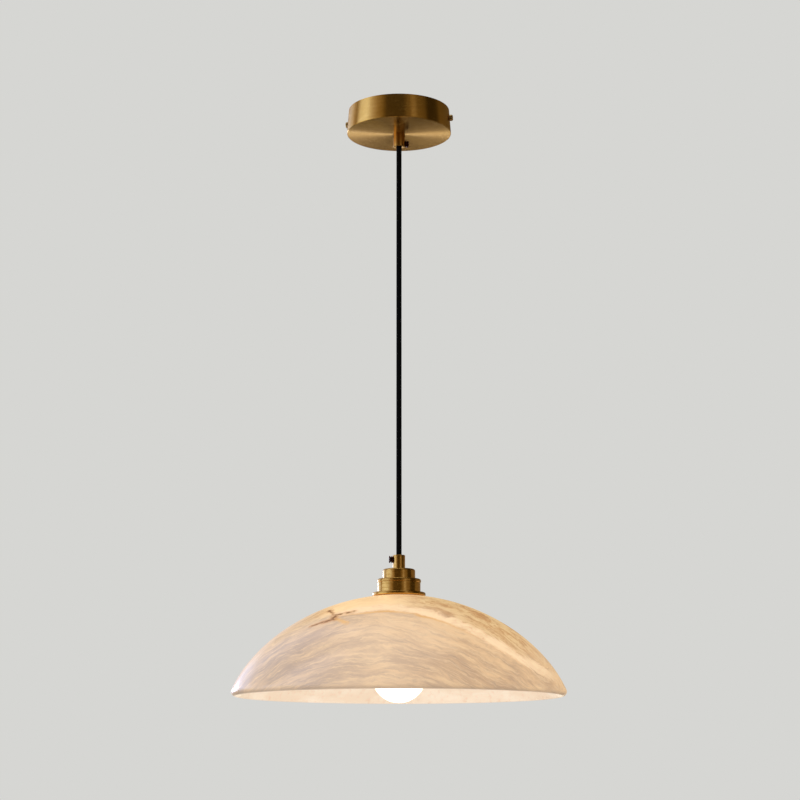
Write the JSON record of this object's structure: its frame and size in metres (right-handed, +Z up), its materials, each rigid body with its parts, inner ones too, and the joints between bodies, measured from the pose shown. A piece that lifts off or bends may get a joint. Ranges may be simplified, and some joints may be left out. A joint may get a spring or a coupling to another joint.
{
  "type": "pendant light",
  "caption": "Ceiling pendant light: a shallow polished alabaster bowl hangs mouth down around a globe bulb, on a straight black cord from a round satin brass canopy.",
  "frame": {"origin": "centre of the two ceiling slots of the bracket, in the plane of the ceiling", "axes": "+Z up into the ceiling, +X along the bracket and its two side screws; everything hangs below the origin"},
  "size_m": [0.3644, 0.3644, 0.6771],
  "materials": {
    "satin_brass": "satin, brushed round the turned faces",
    "polished_brass": "polished",
    "bracket_steel": "zinc plated",
    "zinc_steel": "zinc plated",
    "dark_steel": "dark bronzed",
    "black_cord": "braided over the flex",
    "nylon": "natural nylon",
    "white_plastic": "moulded",
    "black_plastic": "moulded",
    "terminal_brass": "plain",
    "brown_insulation": "smooth insulation",
    "blue_insulation": "smooth insulation",
    "cork": "pressed cork rubber",
    "alabaster": "polished, translucent, veined",
    "porcelain": "glazed",
    "opal_glass": "opal, lit",
    "bulb_aluminium": "rolled",
    "black_glass": "black insulator",
    "solder_tin": "solder"
  },
  "bodies": {
    "canopy": {"block_screw": "zinc_steel", "canopy_cup": "satin_brass", "canopy_nut": "zinc_steel", "canopy_tube": "zinc_steel", "canopy_washer": "zinc_steel", "ceiling_bracket": "bracket_steel", "cord_tail": "black_cord", "earth_screw": "zinc_steel", "earth_tag": "terminal_brass", "live_conductor": "brown_insulation", "neutral_conductor": "blue_insulation", "terminal_block": "white_plastic", "terminal_clamps": "terminal_brass", "terminal_screws": "zinc_steel", "upper_cord_grip": "satin_brass", "upper_grip_bush": "nylon", "upper_grip_screw": "dark_steel"},
    "screw_right": {"canopy_screw_right": "polished_brass"},
    "screw_left": {"canopy_screw_left": "polished_brass"},
    "cord_bend": {"cord_neck": "black_cord"},
    "lamp": {"suspension_cord": "black_cord", "lower_cord_grip": "satin_brass", "lower_grip_bush": "nylon", "lower_grip_screw": "dark_steel", "lamp_tube": "zinc_steel", "lamp_cap": "satin_brass", "cap_nut": "zinc_steel", "lamp_collar": "satin_brass", "collar_nut": "zinc_steel", "bowl_flange": "satin_brass", "upper_gasket": "cork", "alabaster_bowl": "alabaster", "lower_gasket": "cork", "clamp_ring": "black_plastic", "holder_dome": "black_plastic", "holder_sleeve": "black_plastic", "ceramic_insert": "porcelain", "screw_shell": "terminal_brass", "centre_contact": "terminal_brass", "holder_terminals": "terminal_brass", "holder_terminal_screws": "zinc_steel", "holder_live_conductor": "brown_insulation", "holder_neutral_conductor": "blue_insulation"},
    "bulb": {"bulb_glass": "opal_glass", "bulb_cap": "bulb_aluminium", "bulb_insulator": "black_glass", "bulb_contact": "solder_tin"}
  },
  "joints": [
    {"name": "swing_to_and_fro", "type": "hinge", "parent": "canopy", "child": "cord_bend", "pos_m": [0, 0, -0.0436], "axis": [1, 0, 0], "range_deg": [-15, 15]},
    {"name": "swing_sideways", "type": "hinge", "parent": "cord_bend", "child": "lamp", "pos_m": [0, 0, -0.0436], "axis": [0, 1, 0], "range_deg": [-15, 15]},
    {"name": "bulb_out", "type": "slide", "parent": "lamp", "child": "bulb", "axis": [0, 0, -1], "range_m": [0, 0.03]},
    {"name": "right_screw_out", "type": "slide", "parent": "canopy", "child": "screw_right", "axis": [1, 0, 0], "range_m": [0, 0.01]},
    {"name": "left_screw_out", "type": "slide", "parent": "canopy", "child": "screw_left", "axis": [-1, 0, 0], "range_m": [0, 0.01]}
  ]
}
